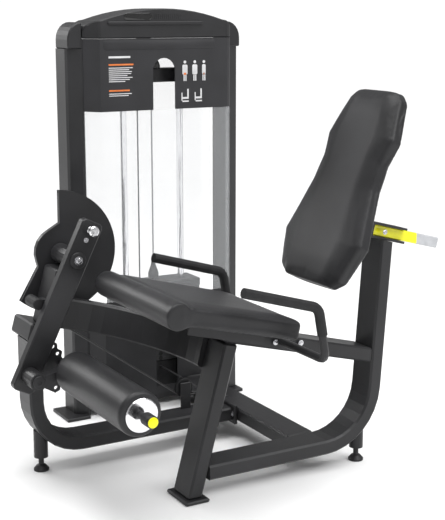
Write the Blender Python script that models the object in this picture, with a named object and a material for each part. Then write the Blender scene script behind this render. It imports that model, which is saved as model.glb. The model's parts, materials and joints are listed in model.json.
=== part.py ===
"""Leg extension machine: a seat and backrest beside a weight-stack tower, with a lever arm, cam and shin roller.

Metres, +Z up. The user faces -Y and the tower stands at -X. The origin is on the floor, in the user's centre plane,
under the middle of the front leg's foot plate.
"""

from math import acos, atan2, cos, pi, radians, sin, tan

import bmesh
import bpy
from mathutils import Quaternion, Vector

# Driving dimensions
HEIGHT = 1.50
TUBE_THIN = 0.048
TUBE_WIDE = 0.105
TUBE_BEVEL = 0.006
GAP = 0.0004
SEAT_SLOPE = radians(14.7)
BACK_RECLINE = radians(24.3)

BASE_Z = 0.086
UPRIGHT_Y = 0.680
REAR_FOOT_Y = 0.645
UPRIGHT_LEAN = radians(4.0)
UPRIGHT_TOP = 0.770
BASE_BEND = 0.19
LEG_LEAN = radians(15.1)
CROSS_Y = 0.453

SEAT_FRONT = Vector((0.0, -0.12, 0.69))
SEAT_LENGTH = 0.42
SEAT_HALF_FRONT = 0.25
SEAT_HALF_REAR = 0.215
SEAT_THICK = 0.066
BOLSTER_R = 0.043

RAIL_TOP = 0.080
RAIL_END = 0.6628
RISER_X = -0.4445
RISER_Y = -0.3415
RISER_BEND = 0.16
RISER_TOP = 0.4800
STUB_FOOT = (-0.368, 0.460)
STUB_SLOPE = radians(16.0)
LOW_PULLEY_Y = 0.243
LOW_PULLEY_Z = 0.183
LEVER_Y = 0.686
LEVER_Z = 0.7920

BACK_FOOT = Vector((0.0, 0.408, 0.655))
BACK_THICK = 0.060

PIVOT_Y = -0.219
PIVOT_Z = 0.7225
CAM_X = -0.487
CAM_R = 0.202
CAM_GROOVE = 0.195
CAM_WIDTH = 0.018
CAM_TIP = radians(-132.0)

ARM_X = -0.320
ARM_THICK = 0.033
ARM_WIDE = 0.074
ARM_LEAN = radians(26.2)
ARM_ABOVE = 0.133
ARM_BELOW = 0.448
HUB_DROP = 0.392

ROLLER_Y = -0.274
ROLLER_Z = 0.390
ROLLER_HALF = 0.236
ROLLER_R = 0.0685

TOWER_Y = 0.335
COLUMN_OUTER = 0.350
COLUMN_INNER = 0.295
COLUMN_FRONT = -0.847
COLUMN_BACK = -0.960
PANEL_X = -0.792
PANEL_FOLD = 0.252
TOWER_BACK = -1.040
SLOT_HALF = 0.045
PANEL_Z = (1.140, 1.395)
SHIELD_Z = (0.444, 1.139)
SHROUD_Z = (0.064, 0.443)
SHEET = 0.004

ROD_HALF = 0.117
ROD_X = -0.900
STACK_BOTTOM = 0.175
PLATE_PITCH = 0.0185
PLATES_LIFTED = 5
PLATES_RESTING = 10
CABLE_R = 0.003
TOP_PULLEY_R = 0.060
LOW_PULLEY_R = 0.030
LOW_CABLE_Z = 0.153
SIDE_PULLEY_X = CAM_X - LOW_PULLEY_R
SIDE_PULLEY_Y = TOWER_Y - LOW_PULLEY_R
BACK_PULLEY_X = -0.990
CAM_CABLE_CLEAR = 0.052
CAM_CABLE_END = radians(-30.0)
INDEX_STEP = 14.0
TOP_PULLEY_X = -0.960
TOP_PULLEY_Z = 1.352

COLOURS = {
    "frame_paint": ((0.030, 0.031, 0.033), 0.42, 0.5),
    "upholstery": ((0.035, 0.035, 0.037), 0.55, 0.0),
    "grip_rubber": ((0.012, 0.012, 0.013), 0.70, 0.0),
    "black_plastic": ((0.014, 0.014, 0.016), 0.48, 0.0),
    "panel_print": ((0.060, 0.062, 0.066), 0.50, 0.0),
    "clear_sheet": ((0.90, 0.92, 0.94), 0.10, 0.0),
    "chrome": ((0.80, 0.80, 0.82), 0.12, 1.0),
    "yellow_plastic": ((0.90, 0.78, 0.02), 0.40, 0.0),
    "cable_steel": ((0.10, 0.10, 0.11), 0.45, 0.5),
    "cast_plate": ((0.045, 0.045, 0.048), 0.60, 0.3),
}


def clear_scene():
    for item in list(bpy.data.objects):
        bpy.data.objects.remove(item, do_unlink=True)


def material(name):
    found = bpy.data.materials.get(name)
    if found:
        return found
    colour, rough, metal = COLOURS[name]
    made = bpy.data.materials.new(name)
    made.use_nodes = True
    shader = made.node_tree.nodes["Principled BSDF"]
    shader.inputs["Base Color"].default_value = (*colour, 1.0)
    shader.inputs["Roughness"].default_value = rough
    shader.inputs["Metallic"].default_value = metal
    return made


def finish_mesh(name, shape, finish, parent=None):
    """Turns a bmesh into a named object with outward faces, its material and its parent."""
    bmesh.ops.recalc_face_normals(shape, faces=shape.faces)
    mesh = bpy.data.meshes.new(name)
    shape.to_mesh(mesh)
    shape.free()
    mesh.shade_smooth()
    mesh.set_sharp_from_angle(angle=radians(35))
    obj = bpy.data.objects.new(name, mesh)
    bpy.context.scene.collection.objects.link(obj)
    mesh.materials.append(material(finish))
    if parent:
        obj.parent = parent
        obj.matrix_parent_inverse.translation = -parent.matrix_world.translation
    return obj


def joint_empty(name, place):
    """An empty on a joint's axis, which the joint's pieces are parented to."""
    empty = bpy.data.objects.new(name, None)
    empty.empty_display_size = 0.05
    empty.location = place
    bpy.context.scene.collection.objects.link(empty)
    bpy.context.view_layer.update()
    return empty


def loft(rings, closed_path=False):
    """A bmesh through rings of points of equal count, capped at both ends unless the path closes."""
    shape = bmesh.new()
    loops = [[shape.verts.new(p) for p in ring] for ring in rings]
    count = len(loops[0])
    pairs = list(zip(loops, loops[1:]))
    if closed_path:
        pairs.append((loops[-1], loops[0]))
    for low, high in pairs:
        for i in range(count):
            j = (i + 1) % count
            shape.faces.new((low[i], low[j], high[j], high[i]))
    if not closed_path:
        shape.faces.new(loops[0][::-1])
        shape.faces.new(loops[-1])
    return shape


def prism(name, outline, start, depth, finish, axis="X", parent=None):
    """Extrudes an outline of two-number points along an axis, from start to start + depth."""

    def place(point, height):
        a, b = point
        if axis == "X":
            return Vector((height, a, b))
        if axis == "Y":
            return Vector((a, height, b))
        return Vector((a, b, height))

    rings = [[place(p, start) for p in outline], [place(p, start + depth) for p in outline]]
    return finish_mesh(name, loft(rings), finish, parent)


def box(name, low, high, finish, parent=None, bevel=0.003):
    """An upright box between two corners, with a small bevel."""
    (x0, y0, z0), (x1, y1, z1) = low, high
    outline = [(x0, y0), (x1, y0), (x1, y1), (x0, y1)]
    obj = prism(name, outline, z0, z1 - z0, finish, "Z", parent)
    return bevelled(obj, bevel)


def bevelled(obj, width, segments=1):
    if width:
        edge = obj.modifiers.new("bevel", "BEVEL")
        edge.width = width
        edge.segments = segments
        edge.limit_method = "ANGLE"
        edge.angle_limit = radians(40)
    return obj


def tilted_outline(outline, foot, slope):
    """Turns (along, across) points into (y, z), with along running towards +Y and down by the slope."""
    return [
        (foot[0] + a * cos(slope) + b * sin(slope), foot[1] - a * sin(slope) + b * cos(slope))
        for a, b in outline
    ]


def rectangle(half_a, half_b, bevel=TUBE_BEVEL):
    a, b, c = half_a, half_b, bevel
    return [(-a + c, -b), (a - c, -b), (a, -b + c), (a, b - c), (a - c, b), (-a + c, b), (-a, b - c), (-a, -b + c)]


def circle(radius, sides, start=0.0):
    return [(radius * cos(start + 2 * pi * i / sides), radius * sin(start + 2 * pi * i / sides)) for i in range(sides)]


def arc(centre, radius, start, end, steps):
    """Points (a, b) along an arc, both ends included; angles in radians."""
    return [
        (centre[0] + radius * cos(start + (end - start) * i / steps),
         centre[1] + radius * sin(start + (end - start) * i / steps))
        for i in range(steps + 1)
    ]


def sweep(name, path, section, finish, side=None, parent=None):
    """Sweeps a section of (side, up) points along a path. A flat path's side is its plane's normal."""
    points = [Vector(p) for p in path]
    rings = []
    across = Vector(side) if side else None
    for i, point in enumerate(points):
        before = (point - points[i - 1]).normalized() if i else None
        after = (points[i + 1] - point).normalized() if i + 1 < len(points) else None
        along = ((before or after) + (after or before)).normalized()
        stretch = 1.0 / max(0.5, along.dot(after or before))
        if side is None:
            across = (across or along.orthogonal())
            across = (across - along * across.dot(along)).normalized()
        up = across.cross(along).normalized()
        grow = stretch if side else 1.0
        rings.append([point + across * a + up * (b * grow) for a, b in section])
    return finish_mesh(name, loft(rings), finish, parent)


def turned(name, profile, centre, axis, finish, sides=24, parent=None):
    """Turns a profile of (radius, height) points about an axis through centre; it closes on the axis or as a ring."""
    centre, axis = Vector(centre), Vector(axis).normalized()
    first = axis.orthogonal().normalized()
    second = axis.cross(first)
    shape = bmesh.new()
    rings = []
    for radius, height in profile:
        foot = centre + axis * height
        if radius == 0:
            rings.append([shape.verts.new(foot)])
            continue
        rings.append([
            shape.verts.new(foot + (first * cos(2 * pi * i / sides) + second * sin(2 * pi * i / sides)) * radius)
            for i in range(sides)
        ])
    pairs = list(zip(rings, rings[1:]))
    if profile[0][0] > 0 and profile[-1][0] > 0:
        pairs.append((rings[-1], rings[0]))
    for low, high in pairs:
        for i in range(sides):
            j = (i + 1) % sides
            corners = [low[i % len(low)], low[j % len(low)], high[j % len(high)], high[i % len(high)]]
            shape.faces.new(list(dict.fromkeys(corners)))
    return finish_mesh(name, shape, finish, parent)


def cut(target, cutter):
    """Takes the cutter's shape out of the target and hides the cutter."""
    cutter.hide_render = True
    cutter.display_type = "WIRE"
    boolean = target.modifiers.new("cut " + cutter.name, "BOOLEAN")
    boolean.operation = "DIFFERENCE"
    boolean.solver = "EXACT"
    boolean.object = cutter
    return target


def merge(target, addition):
    """Joins a shape to the target and hides the original."""
    addition.hide_render = True
    addition.display_type = "WIRE"
    boolean = target.modifiers.new("join " + addition.name, "BOOLEAN")
    boolean.operation = "UNION"
    boolean.solver = "EXACT"
    boolean.object = addition
    return target


def trim_above(target, foot, slope):
    """Cuts off whatever is above a plane through foot that falls towards +Y by the slope."""
    outline = tilted_outline([(-0.2, -GAP), (0.2, -GAP), (0.2, 0.15), (-0.2, 0.15)], foot, slope)
    return cut(target, prism(target.name + "_trim", outline, -0.6, 0.8, "frame_paint"))


# Frame


def seat_point(y, below=0.0):
    """Height of the plane at this distance below the seat's top surface, at y."""
    return SEAT_FRONT.z - (y - SEAT_FRONT.y) * tan(SEAT_SLOPE) - below / cos(SEAT_SLOPE)


def leg_front(z):
    return -0.028 + (z - 0.014) * tan(LEG_LEAN)


def pulley_axle(name, centre, axis, low, high):
    """A pin for a pulley, which a bracket is joined to."""
    return turned(name, [(0, low), (0.0042, low), (0.0042, high), (0, high)], centre, axis, "frame_paint", 12)


def make_front_leg():
    depth = TUBE_THIN / cos(LEG_LEAN)
    foot = 0.012 + GAP
    ramp, slope = tan(LEG_LEAN), tan(SEAT_SLOPE)
    level = seat_point(0.0, RAIL_TOP + TUBE_THIN) - GAP
    top_front = (leg_front(level)) / (1 + ramp * slope)
    top_rear = (leg_front(level) + depth) / (1 + ramp * slope)
    outline = [
        (leg_front(foot), foot),
        (leg_front(foot) + depth, foot),
        (top_rear, seat_point(top_rear, RAIL_TOP + TUBE_THIN) - GAP),
        (top_front, seat_point(top_front, RAIL_TOP + TUBE_THIN) - GAP),
    ]
    bevelled(prism("front_leg", outline, -TUBE_WIDE / 2, TUBE_WIDE, "frame_paint"), TUBE_BEVEL)
    box("front_foot_plate", (-0.068, -0.043, 0.0), (0.068, 0.040, 0.012), "black_plastic", bevel=0.004)


def bent_path(x, start, corner, radius, end, steps=6):
    """Points in a plane of constant x from start to end, rounding the corner between them."""
    start, corner, end = Vector(start), Vector(corner), Vector(end)
    into, out = (corner - start).normalized(), (end - corner).normalized()
    half = into.angle(out) / 2
    reach = radius * tan(half)
    first, last = corner - into * reach, corner + out * reach
    centre = corner + (out - into).normalized() * (radius / cos(half))
    spread = (first - centre).angle_signed(last - centre)
    points = [start]
    for i in range(steps + 1):
        turn = -spread * i / steps
        arm = first - centre
        points.append(centre + Vector((arm.x * cos(turn) - arm.y * sin(turn), arm.x * sin(turn) + arm.y * cos(turn))))
    points.append(end)
    return [(x, p.x, p.y) for p in points]


def make_base():
    flat = rectangle(TUBE_WIDE / 2, TUBE_THIN / 2)
    top_y = UPRIGHT_Y + (UPRIGHT_TOP - 0.25) * tan(UPRIGHT_LEAN)
    foot_y = UPRIGHT_Y + (BASE_Z - 0.25) * tan(UPRIGHT_LEAN)
    leg_back = leg_front(BASE_Z + TUBE_THIN / 2) + TUBE_THIN / cos(LEG_LEAN) + 2 * GAP
    path = bent_path(0.0, (leg_back, BASE_Z), (foot_y, BASE_Z), BASE_BEND, (top_y, UPRIGHT_TOP), 8)
    upright = sweep("base_and_upright_tube", path, flat, "frame_paint", side=(1, 0, 0))
    trim_above(upright, slope_frame(0.0, -0.0264), SEAT_SLOPE)
    low, high = BASE_Z - TUBE_THIN / 2, BASE_Z + TUBE_THIN / 2
    cross = box(
        "cross_tube", (COLUMN_FRONT - 0.0025, CROSS_Y - TUBE_WIDE / 2, low),
        (-TUBE_WIDE / 2 - GAP, CROSS_Y + TUBE_WIDE / 2, high), "frame_paint", bevel=TUBE_BEVEL,
    )
    plate = box("cross_bracket_form", (-0.562, 0.285, 0.1085), (-0.506, 0.440, 0.1145), "frame_paint", bevel=0.002)
    merge(plate, pulley_axle("cross_axle_form", (SIDE_PULLEY_X, SIDE_PULLEY_Y, LOW_CABLE_Z), (0, 0, 1), -0.040, 0.0075))
    merge(cross, plate)
    front = leg_front(seat_point(0.1, RAIL_TOP)) - 0.012
    rail = [
        (front, seat_point(front, RAIL_TOP)),
        (front, seat_point(front, RAIL_TOP + TUBE_THIN)),
        (RAIL_END, seat_point(RAIL_END, RAIL_TOP + TUBE_THIN)),
        (RAIL_END + 0.0034, seat_point(RAIL_END + 0.0034, RAIL_TOP)),
    ]
    bevelled(prism("seat_rail", rail, -TUBE_WIDE / 2, TUBE_WIDE, "frame_paint"), TUBE_BEVEL)


def make_riser():
    flat = rectangle(TUBE_WIDE / 2, TUBE_THIN / 2)
    path = bent_path(
        RISER_X, (RISER_Y, RISER_TOP), (RISER_Y, BASE_Z), RISER_BEND, (CROSS_Y - TUBE_WIDE / 2 - 0.0130, BASE_Z), 8,
    )
    riser = sweep("riser_tube", path, flat, "frame_paint", side=(1, 0, 0))
    trim_above(riser, STUB_FOOT, STUB_SLOPE)
    bracket = box("riser_bracket_form", (-0.4745, 0.223, 0.100), (-0.4685, 0.263, 0.205), "frame_paint", bevel=0.002)
    merge(bracket, pulley_axle("riser_axle_form", (CAM_X, LOW_PULLEY_Y, LOW_PULLEY_Z), (1, 0, 0), -0.007, 0.0155))
    merge(riser, bracket)
    face = CROSS_Y - TUBE_WIDE / 2
    box(
        "joint_flange", (RISER_X - 0.060, face - 0.0125, BASE_Z - 0.034), (RISER_X + 0.070, face - GAP, BASE_Z + 0.036),
        "frame_paint", bevel=0.002,
    )
    stub = tilted_outline([(0.0, 0.0), (0.0895, 0.0), (0.0895, 0.060), (0.0, 0.060)], STUB_FOOT, STUB_SLOPE)
    bevelled(prism("front_stub_tube", stub, -0.550, 0.160, "frame_paint"), TUBE_BEVEL)


def make_curved_beam():
    start, end = Vector((-0.425, -0.190)), Vector((-0.080, 0.098))
    pull_a, pull_b = Vector((-0.425, -0.030)), Vector((-0.250, 0.098))
    plan = [Vector((-0.425, -0.2515))]
    for i in range(11):
        t = i / 10
        plan.append(
            start * (1 - t) ** 3 + pull_a * (3 * t * (1 - t) ** 2) + pull_b * (3 * t * t * (1 - t)) + end * t ** 3
        )
    plan.append(Vector((-TUBE_WIDE / 2 - GAP, end.y)))
    path = [(p.x, p.y, seat_point(p.y, 0.1808)) for p in plan]
    slope_up = (0.0, sin(SEAT_SLOPE), cos(SEAT_SLOPE))
    sweep("curved_beam", path, rectangle(0.050, 0.025), "frame_paint", side=slope_up)


def make_feet():
    """A short post under each bend, and the levelling foot screwed into it."""
    for name, tube, x, y, top in (
        ("front", "riser_tube", RISER_X, RISER_Y + 0.026, 0.14),
        ("rear", "base_and_upright_tube", 0.0, REAR_FOOT_Y, 0.13),
    ):
        post = turned(
            name + "_post_form", [(0, 0.046), (0.0235, 0.046), (0.0235, top), (0, top)], (x, y, 0), (0, 0, 1),
            "frame_paint", 20,
        )
        merge(bpy.data.objects[tube], post)
        turned(
            name + "_levelling_foot",
            [(0, 0.0), (0.0255, 0.0), (0.0255, 0.006), (0.016, 0.017), (0.009, 0.021), (0.009, 0.0456), (0, 0.0456)],
            (x, y, 0), (0, 0, 1), "black_plastic", 20,
        )


def make_pivot_post():
    front = -0.2738
    depth = 0.0515
    foot = tilted_outline([(0.030, 0.0605), (0.088, 0.0605)], STUB_FOOT, STUB_SLOPE)
    outline = foot + [(front + depth, PIVOT_Z - 0.0330), (front, PIVOT_Z - 0.0330)]
    post = bevelled(prism("pivot_post", outline, -0.467, TUBE_WIDE, "frame_paint"), 0.004)
    merge(post, box("bumper_bracket_form", (-0.420, -0.3178, 0.577), (-0.384, -0.285, 0.593), "frame_paint", bevel=0))
    turned(
        "bearing_housing", [(0.0135, -0.466), (0.032, -0.466), (0.032, -0.358), (0.0135, -0.358)],
        (0, PIVOT_Y, PIVOT_Z), (1, 0, 0), "frame_paint", 24,
    )
    turned(
        "stop_bumper", [(0, -0.440), (0.017, -0.440), (0.019, -0.436), (0.019, -0.366), (0.017, -0.362), (0, -0.362)],
        (0, -0.337, 0.585), (1, 0, 0), "grip_rubber", 16,
    )


# Seat, handles and backrest


def make_seat():
    steps = 7
    low, high = [], []
    for i in range(steps + 1):
        along = 0.0 + SEAT_LENGTH * i / steps
        half = SEAT_HALF_FRONT + (SEAT_HALF_REAR - SEAT_HALF_FRONT) * i / steps
        low.append((along, half))
        high.append((along, -half))
    outline = low + high[::-1]
    lift = Vector((0, sin(SEAT_SLOPE), cos(SEAT_SLOPE)))
    forward = Vector((0, cos(SEAT_SLOPE), -sin(SEAT_SLOPE)))
    rings = [
        [SEAT_FRONT + forward * a + Vector((x, 0, 0)) - lift * drop for a, x in outline]
        for drop in (0.0, SEAT_THICK)
    ]
    seat = finish_mesh("seat_cushion", loft(rings), "upholstery")
    bevelled(seat, 0.012, 2)
    bolster = SEAT_FRONT - forward * 0.026 - lift * BOLSTER_R
    roll = turned(
        "bolster_form", [(0, -SEAT_HALF_FRONT), (BOLSTER_R, -SEAT_HALF_FRONT), (BOLSTER_R, SEAT_HALF_FRONT),
                         (0, SEAT_HALF_FRONT)], bolster, (1, 0, 0), "upholstery", 24,
    )
    merge(seat, roll)

    flange_drop, sheet = 0.094, 0.006
    top = SEAT_THICK + 0.001
    outer, inner = 0.200, 0.194
    section = [
        (-outer, top), (-outer, flange_drop), (-inner, flange_drop), (-inner, RAIL_TOP - GAP),
        (inner, RAIL_TOP - GAP), (inner, flange_drop), (outer, flange_drop), (outer, top),
    ]
    rings = [
        [SEAT_FRONT + forward * a + Vector((x, 0, 0)) - lift * drop for x, drop in section]
        for a in (0.040, 0.300)
    ]
    finish_mesh("seat_plate", loft(rings), "frame_paint")


def rounded_route(points, radius, steps=4):
    """A route with its corners rounded to a radius."""
    route = [Vector(p) for p in points]
    out = [route[0]]
    for before, corner, after in zip(route, route[1:], route[2:]):
        into, away = (corner - before).normalized(), (after - corner).normalized()
        half = into.angle(away) / 2
        reach = radius * tan(half)
        centre = corner + (away - into).normalized() * (radius / cos(half))
        first = corner - into * reach - centre
        hinge = into.cross(away).normalized()
        for i in range(steps + 1):
            out.append(centre + Quaternion(hinge, 2 * half * i / steps) @ first)
    out.append(route[-1])
    return out


def make_handles():
    for side, sign in (("left", 1), ("right", -1)):
        x = 0.293 if sign > 0 else -0.270
        grip = rounded_route([(x, 0.022, 0.716), (x, 0.2790, 0.6410), (x, 0.2950, 0.5560)], 0.035)
        sweep(side + "_grip", grip, circle(0.0155, 12), "grip_rubber", side=(1, 0, 0))
        bar = rounded_route([(x, 0.29509, 0.5555), (x, 0.3105, 0.4740), (sign * 0.0535, 0.303, 0.478)], 0.030)
        sweep(side + "_handle_bar", bar, circle(0.0125, 12), "frame_paint")


def back_point(x, along, behind):
    """A point on the backrest: across, up its front face, and behind that face."""
    up = Vector((0, sin(BACK_RECLINE), cos(BACK_RECLINE)))
    rear = Vector((0, cos(BACK_RECLINE), -sin(BACK_RECLINE)))
    return BACK_FOOT + Vector((x, 0, 0)) + up * along + rear * behind


BACK_EDGE = (
    (0.125, 0.0), (0.168, 0.028), (0.212, 0.150), (0.190, 0.228), (0.163, 0.335),
    (0.157, 0.420), (0.174, 0.497), (0.133, 0.632), (0.100, 0.660),
)


def back_slab(name, front, rear, inset, finish, parent):
    half = [(max(0.0, w - inset), min(max(a, inset), 0.660 - inset)) for w, a in BACK_EDGE]
    outline = half + [(-w, a) for w, a in half[::-1]]
    rings = [[back_point(x, a, depth) for x, a in outline] for depth in (front, rear)]
    return finish_mesh(name, loft(rings), finish, parent)


def slope_frame(along, across):
    """A (y, z) point from the lever's pivot height, measured along and across the backrest's slide direction."""
    return tilted_outline([(along, across)], (LEVER_Y, LEVER_Z), SEAT_SLOPE)[0]


def plate_face(across):
    """Along the slide direction, where the backrest plate's rear face is at this height across it."""
    low, high = slope_frame(0.0, across), slope_frame(1.0, across)
    rear = (cos(BACK_RECLINE), -sin(BACK_RECLINE))
    gap_low = (low[0] - BACK_FOOT.y) * rear[0] + (low[1] - BACK_FOOT.z) * rear[1]
    gap_high = (high[0] - BACK_FOOT.y) * rear[0] + (high[1] - BACK_FOOT.z) * rear[1]
    return (BACK_THICK + 0.010 - gap_low) / (gap_high - gap_low)


def make_backrest():
    carriage = joint_empty("backrest_slide_joint", (0, LEVER_Y, LEVER_Z))
    bevelled(back_slab("backrest_pad", 0.0, BACK_THICK, 0.0, "upholstery", carriage), 0.012, 2)
    bevelled(
        back_slab("backrest_plate", BACK_THICK + GAP, BACK_THICK + 0.010, 0.035, "black_plastic", carriage), 0.002,
    )
    half = 0.018
    nose = [
        slope_frame(plate_face(half) + GAP, half), slope_frame(plate_face(-half) + GAP, -half),
        slope_frame(-0.041, -half), slope_frame(-0.041, half),
    ]
    prism("backrest_slide", nose, -half, 2 * half, "chrome", "X", carriage)

    wall, space = 0.004, 0.0005
    inner, outer = half + space, half + space + wall
    frame = []
    for along in (plate_face(outer) + 0.004, -0.0405):
        frame.append([slope_ring(along, outer), slope_ring(along, inner)])
    shape = bmesh.new()
    loops = [[shape.verts.new(p) for p in ring] for ring in (frame[0][0], frame[1][0], frame[1][1], frame[0][1])]
    for low, high in zip(loops, loops[1:] + loops[:1]):
        for i in range(4):
            j = (i + 1) % 4
            shape.faces.new((low[i], low[j], high[j], high[i]))
    finish_mesh("backrest_guide", shape, "frame_paint")

    bar = 0.018
    plate = 0.008
    reach = 0.125
    clevis = [
        (-0.040, bar + GAP + plate), (-0.040, -bar - GAP - plate), (reach, -bar - GAP - plate), (reach, -bar - GAP),
        (-0.012, -bar - GAP), (-0.012, bar + GAP), (reach, bar + GAP), (reach, bar + GAP + plate),
    ]
    prism("lever_bracket", [slope_frame(a, b) for a, b in clevis], -0.030, 0.060, "frame_paint")

    lever_pin = slope_frame(0.035, 0.0)
    lever = joint_empty("lever_joint", (0, *lever_pin))
    handle = [slope_frame(a, b) for a, b in ((-0.004, -bar), (0.284, -bar), (0.284, bar), (-0.004, bar))]
    bevelled(prism("adjust_lever", handle, -0.011, 0.022, "yellow_plastic", "X", lever), 0.003)


def slope_ring(along, half):
    """Four corners of a square section about the slide's axis at this place along it."""
    low, high = slope_frame(along, -half), slope_frame(along, half)
    return [Vector((-half, *low)), Vector((half, *low)), Vector((half, *high)), Vector((-half, *high))]


# Weight tower


def column_profile(mirrored):
    points = [
        (COLUMN_BACK, -0.015), (COLUMN_FRONT - 0.031, -0.015), (COLUMN_FRONT - 0.018, -0.010),
        (COLUMN_FRONT, 0.032), (COLUMN_FRONT, 0.040), (COLUMN_BACK, 0.040),
    ]
    return [(x, 2 * TOWER_Y - y) for x, y in points] if mirrored else points


def make_columns():
    for name, mirrored, foot in (("front", False, (-0.062, 0.030)), ("rear", True, (0.640, 0.690))):
        column = prism("column_" + name, column_profile(mirrored), 0.004, 1.3560, "frame_paint", "Z")
        foot_low = (COLUMN_BACK - 0.012, foot[0], 0.0)
        merge(column, box("foot_form_" + name, foot_low, (-0.822, foot[1], 0.012), "frame_paint", bevel=0.002))

        def mirror(y):
            return 2 * TOWER_Y - y if mirrored else y

        dome = [(mirror(0.0396), 1.3604), (mirror(-0.015), 1.3604)]
        dome += [(mirror(0.0396 - 0.0546 * cos(t)), 1.392 + 0.061 * sin(t)) for t in [i * pi / 12 for i in range(7)]]
        cap = prism("column_cap_" + name, dome, COLUMN_BACK, COLUMN_FRONT - COLUMN_BACK, "black_plastic")
        bevelled(cap, 0.004)


def wall_points(offset):
    """Plan of the front wall between the columns, moved inwards by the offset; the right return is rounded."""
    left = [(COLUMN_FRONT + 0.0008, 0.0410 + offset * 1.8), (PANEL_X - offset, 0.0830 + offset * 0.42)]
    turn = arc((PANEL_X - 0.040, TOWER_Y + PANEL_FOLD), 0.040 - offset, 0.0, pi / 2, 5)
    right = turn + [(COLUMN_FRONT + 0.0008, turn[-1][1])]
    return left + right


def wall(name, heights, finish):
    outer, inner = wall_points(0.0), wall_points(SHEET)
    return prism(name, outer + inner[::-1], heights[0], heights[1] - heights[0], finish, "Z")


def slot_cutter(name, low, high, round_top):
    """A cutter for the slot that the cable and the selector pin are seen through."""
    half = SLOT_HALF
    outline = [(TOWER_Y - half, low), (TOWER_Y + half, low)]
    if round_top:
        outline += arc((TOWER_Y, high - half), half, 0.0, pi, 10)
    else:
        outline += [(TOWER_Y + half, high), (TOWER_Y - half, high)]
    return prism(name, outline, -0.86, 0.10, "black_plastic")


def make_tower_walls():
    panel = wall("info_panel", PANEL_Z, "panel_print")
    cut(panel, slot_cutter("panel_slot", PANEL_Z[0] - 0.01, 1.325, True))
    wall("clear_shield", SHIELD_Z, "clear_sheet")
    shroud = wall("lower_shroud", SHROUD_Z, "black_plastic")
    cut(shroud, slot_cutter("shroud_slot", 0.093, SHROUD_Z[1] + 0.01, False))
    skirt = box("skirt_space", (-0.87, 0.3905, 0.05), (-0.75, 0.5165, 0.1130), "black_plastic", bevel=0)
    cut(shroud, skirt)


def make_tower_covers():
    low, high, foot, shoulder = 0.0404, 2 * TOWER_Y - 0.0404, 1.3955, 1.4600
    turn, drop = 0.050, 0.045
    left = [(low + turn - turn * cos(t), shoulder - drop + drop * sin(t)) for t in [i * pi / 10 for i in range(5)]]
    span = TOWER_Y - low - turn
    middle = [
        (TOWER_Y + span * f, shoulder + (HEIGHT - shoulder) * (1 - f * f)) for f in [i / 6 - 1 for i in range(13)]
    ]
    right = [(2 * TOWER_Y - y, z) for y, z in left[::-1]]
    arch = [(low, foot)] + left + middle + right + [(high, foot)]
    cover = prism("top_cover", arch, COLUMN_BACK, PANEL_X - COLUMN_BACK, "black_plastic")
    plan = [(COLUMN_BACK - 0.01, low - 0.001), (COLUMN_FRONT, low - 0.001)] + wall_points(0.0)[1:-1]
    plan += [(COLUMN_FRONT, high + 0.001), (COLUMN_BACK - 0.01, high + 0.001)]
    trim = cover.modifiers.new("plan", "BOOLEAN")
    trim.operation = "INTERSECT"
    trim.solver = "EXACT"
    trim.object = prism("cover_plan", plan, 1.35, 0.20, "black_plastic", "Z")
    trim.object.hide_render = True
    bevelled(cover, 0.004)
    cut(cover, box("cover_space", (-0.99, 0.20, 1.380), (-0.86, 0.47, 1.440), "black_plastic", bevel=0))
    rear = box("rear_cover", (TOWER_BACK, 0.045, 0.022), (COLUMN_BACK - 0.0008, 0.625, 1.440), "clear_sheet",
               bevel=0.006)
    cut(rear, box("rear_space", (TOWER_BACK + 0.004, 0.050, 0.01), (-0.90, 0.620, 1.434), "black_plastic", bevel=0))


def make_tower_inside():
    base = box("tower_base", (-0.955, 0.0404, 0.020), (-0.850, 0.6296, 0.110), "frame_paint", bevel=0.003)
    strap = [
        (-0.945, 0.100), (-0.890, 0.100), (-0.890, 0.118), (-0.968, 0.150), (-0.968, 0.205),
        (-1.004, 0.205), (-1.004, 0.166), (-0.970, 0.130),
    ]
    bracket = prism("base_bracket_form", strap, TOWER_Y + 0.012, 0.006, "frame_paint", "Y")
    back_centre = (BACK_PULLEY_X, TOWER_Y, LOW_PULLEY_Z)
    merge(bracket, pulley_axle("base_axle_form", back_centre, (0, 1, 0), -0.007, 0.015))
    merge(base, bracket)

    beam = box("top_crossmember", (-0.918, 0.0404, 1.235), (-0.852, 0.6296, 1.285), "frame_paint", bevel=0.003)
    for side in (-1, 1):
        y = TOWER_Y + side * ROD_HALF
        turned(
            "guide_rod_" + ("front" if side < 0 else "rear"),
            [(0, 0.1104), (0.030, 0.1104), (0.030, STACK_BOTTOM - GAP), (0.0125, STACK_BOTTOM - GAP), (0.0125, 1.300),
             (0, 1.300)], (ROD_X, y, 0), (0, 0, 1), "chrome", 24,
        )
        cut(beam, drill("beam_rod_hole", (ROD_X, y, 1.22), (0, 0, 1), 0.0131, 0.08, 24))
    cut(beam, drill("beam_cable_hole", (ROD_X, TOWER_Y, 1.22), (0, 0, 1), 0.009, 0.08, 16))
    strap = [
        (-0.905, 1.280), (-0.862, 1.280), (-0.862, 1.297), (-0.945, 1.385), (-0.980, 1.385), (-0.980, 1.335),
    ]
    bracket = prism("top_bracket_form", strap, TOWER_Y + 0.0125, 0.006, "frame_paint", "Y")
    centre = (TOP_PULLEY_X, TOWER_Y, TOP_PULLEY_Z)
    merge(bracket, pulley_axle("top_axle_form", centre, (0, 1, 0), -0.007, 0.0155))
    merge(beam, bracket)


def drill(name, foot, axis, radius, depth, sides=16):
    return turned(name, [(0, 0), (radius, 0), (radius, depth), (0, depth)], foot, axis, "frame_paint", sides)


# Weight stack, pulleys and cable


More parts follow.
